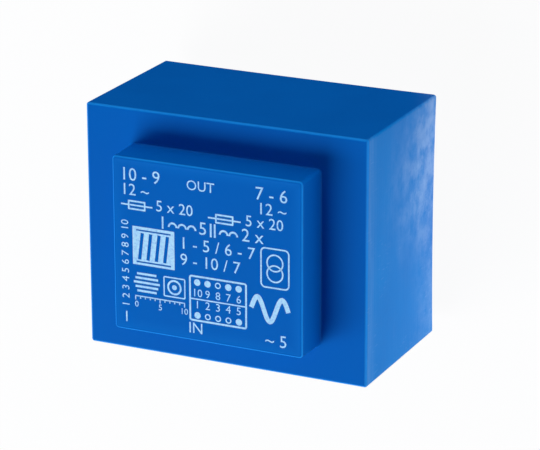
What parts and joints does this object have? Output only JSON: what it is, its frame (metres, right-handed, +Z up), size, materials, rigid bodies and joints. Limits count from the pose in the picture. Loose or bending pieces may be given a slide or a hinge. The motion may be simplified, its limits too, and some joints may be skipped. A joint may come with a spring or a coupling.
{
  "type": "encapsulated circuit board transformer",
  "caption": "Encapsulated mains transformer for a circuit board, in a blue moulded housing with a raised label boss on top and round solder pins below.",
  "frame": {"origin": "centre of the pin pattern on the seating plane, which is the rim of the housing", "axes": "+X along the housing's length, +Y towards the secondary pins, +Z up, away from the board"},
  "size_m": [0.053, 0.044, 0.0405],
  "materials": {
    "blue_housing": "moulded thermoplastic, satin",
    "blue_resin": "cast filled resin, smooth, slightly sunk",
    "core_steel": "cold rolled electrical sheet, oxide coated",
    "bobbin_plastic": "glass filled moulding, matte",
    "copper_winding": "enamelled copper wire, wound in layers",
    "tape": "polyester film tape",
    "tinned_pin": "dip tinned wire, bright",
    "solder": "solder, dull bright"
  },
  "bodies": {
    "root": {"e_plate_01": "core_steel", "e_plate_02": "core_steel", "e_plate_03": "core_steel", "e_plate_04": "core_steel", "e_plate_05": "core_steel", "e_plate_06": "core_steel", "e_plate_07": "core_steel", "e_plate_08": "core_steel", "e_plate_09": "core_steel", "e_plate_10": "core_steel", "e_plate_11": "core_steel", "e_plate_12": "core_steel", "e_plate_13": "core_steel", "e_plate_14": "core_steel", "e_plate_15": "core_steel", "e_plate_16": "core_steel", "e_plate_17": "core_steel", "e_plate_18": "core_steel", "e_plate_19": "core_steel", "e_plate_20": "core_steel", "e_plate_21": "core_steel", "e_plate_22": "core_steel", "e_plate_23": "core_steel", "e_plate_24": "core_steel", "e_plate_25": "core_steel", "e_plate_26": "core_steel", "e_plate_27": "core_steel", "e_plate_28": "core_steel", "e_plate_29": "core_steel", "e_plate_30": "core_steel", "e_plate_31": "core_steel", "e_plate_32": "core_steel", "e_plate_33": "core_steel", "i_plates_primary_end": "core_steel", "i_plates_secondary_end": "core_steel", "bobbin": "bobbin_plastic", "primary_winding": "copper_winding", "secondary_winding_inner": "copper_winding", "secondary_winding_outer": "copper_winding", "primary_tape": "tape", "secondary_layer_tape": "tape", "secondary_tape": "tape", "pin_1": "tinned_pin", "solder_pin_1": "solder", "pin_5": "tinned_pin", "solder_pin_5": "solder", "pin_6": "tinned_pin", "solder_pin_6": "solder", "pin_7": "tinned_pin", "solder_pin_7": "solder", "pin_9": "tinned_pin", "solder_pin_9": "solder", "pin_10": "tinned_pin", "solder_pin_10": "solder", "housing": "blue_housing", "resin": "blue_resin"}
  },
  "joints": []
}
